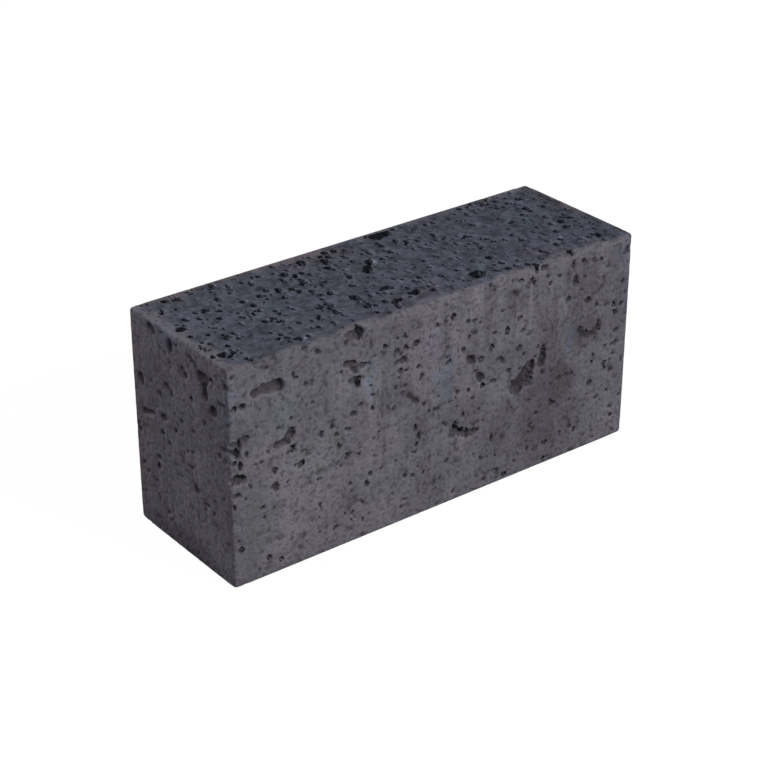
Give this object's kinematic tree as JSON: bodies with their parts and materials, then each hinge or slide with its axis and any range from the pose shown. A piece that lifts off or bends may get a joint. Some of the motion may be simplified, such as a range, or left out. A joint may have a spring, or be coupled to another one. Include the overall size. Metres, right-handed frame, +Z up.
{
  "type": "small concrete paver",
  "caption": "Small right-angled concrete paving block with worn arrises and open air voids in its faces.",
  "frame": {"origin": "middle of the bed face, at floor level", "axes": "+Z up, out of the top; +X along the length; +Y across the width, from the front to the back"},
  "size_m": [0.15, 0.05, 0.07],
  "materials": {
    "concrete": "matte, cast, pitted"
  },
  "bodies": {
    "root": {"paver": "concrete"}
  },
  "joints": []
}
